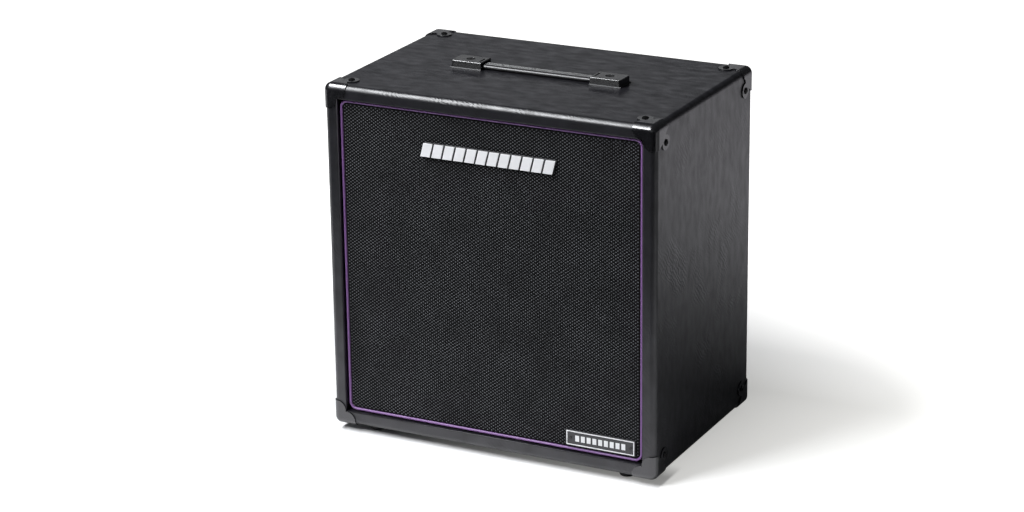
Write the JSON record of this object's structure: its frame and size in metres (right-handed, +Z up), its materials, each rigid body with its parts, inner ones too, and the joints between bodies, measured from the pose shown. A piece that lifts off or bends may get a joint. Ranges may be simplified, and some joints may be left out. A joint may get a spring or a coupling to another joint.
{
  "type": "guitar speaker cabinet",
  "caption": "Vinyl-covered closed speaker cabinet with cloth grille, coloured piping, corner protectors, lifting strap handle, rubber feet and one loudspeaker with a travelling cone.",
  "frame": {"origin": "on the floor under the middle of the cabinet", "axes": "+Z up, -Y out of the grille, +X to the right seen from the front"},
  "size_m": [0.4632, 0.3032, 0.4812],
  "materials": {
    "board_wood": "bare ply",
    "black_vinyl": "bark grain",
    "grille_fabric": "black weave with light specks",
    "purple_piping": "satin",
    "grip_fabric": "hook and loop",
    "black_plastic": "fine grain",
    "white_plastic": "satin",
    "black_rubber": "matt",
    "strap_rubber": "ribbed, satin",
    "black_screw": "black oxide",
    "plated_steel": "zinc plated",
    "basket_paint": "satin black",
    "gasket_board": "matt",
    "ferrite": "matt",
    "cone_paper": "pressed paper",
    "spider_cloth": "impregnated cloth",
    "coil_copper": "lacquered copper",
    "terminal_brass": "tinned",
    "jack_plastic": "satin",
    "nut_chrome": "polished",
    "wire_plastic": "satin"
  },
  "bodies": {
    "cabinet": {"top_panel": "board_wood", "bottom_panel": "board_wood", "left_side_panel": "board_wood", "right_side_panel": "board_wood", "baffle_board": "board_wood", "baffle_cleats": "board_wood", "back_panel": "board_wood", "back_panel_cleats": "board_wood", "grille_frame": "board_wood", "vinyl_covering": "black_vinyl", "back_panel_vinyl": "black_vinyl", "grille_cloth": "grille_fabric", "grille_piping": "purple_piping", "grille_pads": "grip_fabric", "corner_front_top_right": "black_plastic", "corner_front_top_left": "black_plastic", "corner_front_bottom_right": "black_plastic", "corner_front_bottom_left": "black_plastic", "corner_back_top_right": "black_plastic", "corner_back_top_left": "black_plastic", "corner_back_bottom_right": "black_plastic", "corner_back_bottom_left": "black_plastic", "handle_cap_left": "black_plastic", "handle_cap_right": "black_plastic", "upper_badge": "black_plastic", "lower_badge": "black_plastic", "cable_clip": "black_plastic", "upper_badge_bars": "white_plastic", "lower_badge_marks": "white_plastic", "rubber_feet": "black_rubber", "corner_screws": "black_screw", "handle_screws": "black_screw", "panel_screws": "black_screw", "jack_plate_screws": "black_screw", "foot_screws": "plated_steel", "handle_t_nuts": "plated_steel", "speaker_bolts": "plated_steel", "speaker_nuts": "plated_steel", "speaker_front_plate": "plated_steel", "speaker_yoke": "plated_steel", "speaker_basket": "basket_paint", "jack_plate": "basket_paint", "speaker_gasket": "gasket_board", "speaker_magnet": "ferrite", "speaker_surround": "cone_paper", "speaker_spider": "spider_cloth", "tinsel_leads": "coil_copper", "speaker_terminals": "terminal_brass", "jack_lugs": "terminal_brass", "jack_sockets": "jack_plastic", "jack_nuts": "nut_chrome", "speaker_wires": "wire_plastic"},
    "strap_centre": {"strap_centre": "strap_rubber"},
    "strap_arm_left": {"strap_arm_left": "strap_rubber"},
    "strap_arm_right": {"strap_arm_right": "strap_rubber"},
    "strap_end_left": {"strap_end_left": "strap_rubber"},
    "strap_end_right": {"strap_end_right": "strap_rubber"},
    "cone_assembly": {"speaker_cone": "cone_paper", "speaker_dust_cap": "cone_paper", "voice_coil": "coil_copper"}
  },
  "joints": [
    {"name": "strap_lift", "type": "slide", "parent": "cabinet", "child": "strap_centre", "axis": [0, 0, 1], "range_m": [0, 0.025]},
    {"name": "right_inner_bend", "type": "hinge", "parent": "strap_centre", "child": "strap_arm_right", "pos_m": [0.02483, 0, 0.4744], "axis": [0, 1, 0], "range_deg": [0, 30.22]},
    {"name": "left_inner_bend", "type": "hinge", "parent": "strap_centre", "child": "strap_arm_left", "pos_m": [-0.02483, 0, 0.4744], "axis": [0, 1, 0], "range_deg": [-30.22, 0]},
    {"name": "right_outer_bend", "type": "hinge", "parent": "strap_arm_right", "child": "strap_end_right", "pos_m": [0.0745, 0, 0.4744], "axis": [0, 1, 0], "range_deg": [-30.22, 0]},
    {"name": "left_outer_bend", "type": "hinge", "parent": "strap_arm_left", "child": "strap_end_left", "pos_m": [-0.0745, 0, 0.4744], "axis": [0, 1, 0], "range_deg": [0, 30.22]},
    {"name": "cone_travel", "type": "slide", "parent": "cabinet", "child": "cone_assembly", "axis": [0, 1, 0], "range_m": [-0.003, 0.003], "stiffness_N_per_m": 4000, "deforming": ["speaker_surround", "speaker_spider", "tinsel_leads"]}
  ],
  "couplings": [
    {"joint": "right_inner_bend", "follows": "strap_lift", "rad_per_m": 21.09},
    {"joint": "left_inner_bend", "follows": "strap_lift", "rad_per_m": -21.09},
    {"joint": "right_outer_bend", "follows": "strap_lift", "rad_per_m": -21.09},
    {"joint": "left_outer_bend", "follows": "strap_lift", "rad_per_m": 21.09}
  ]
}
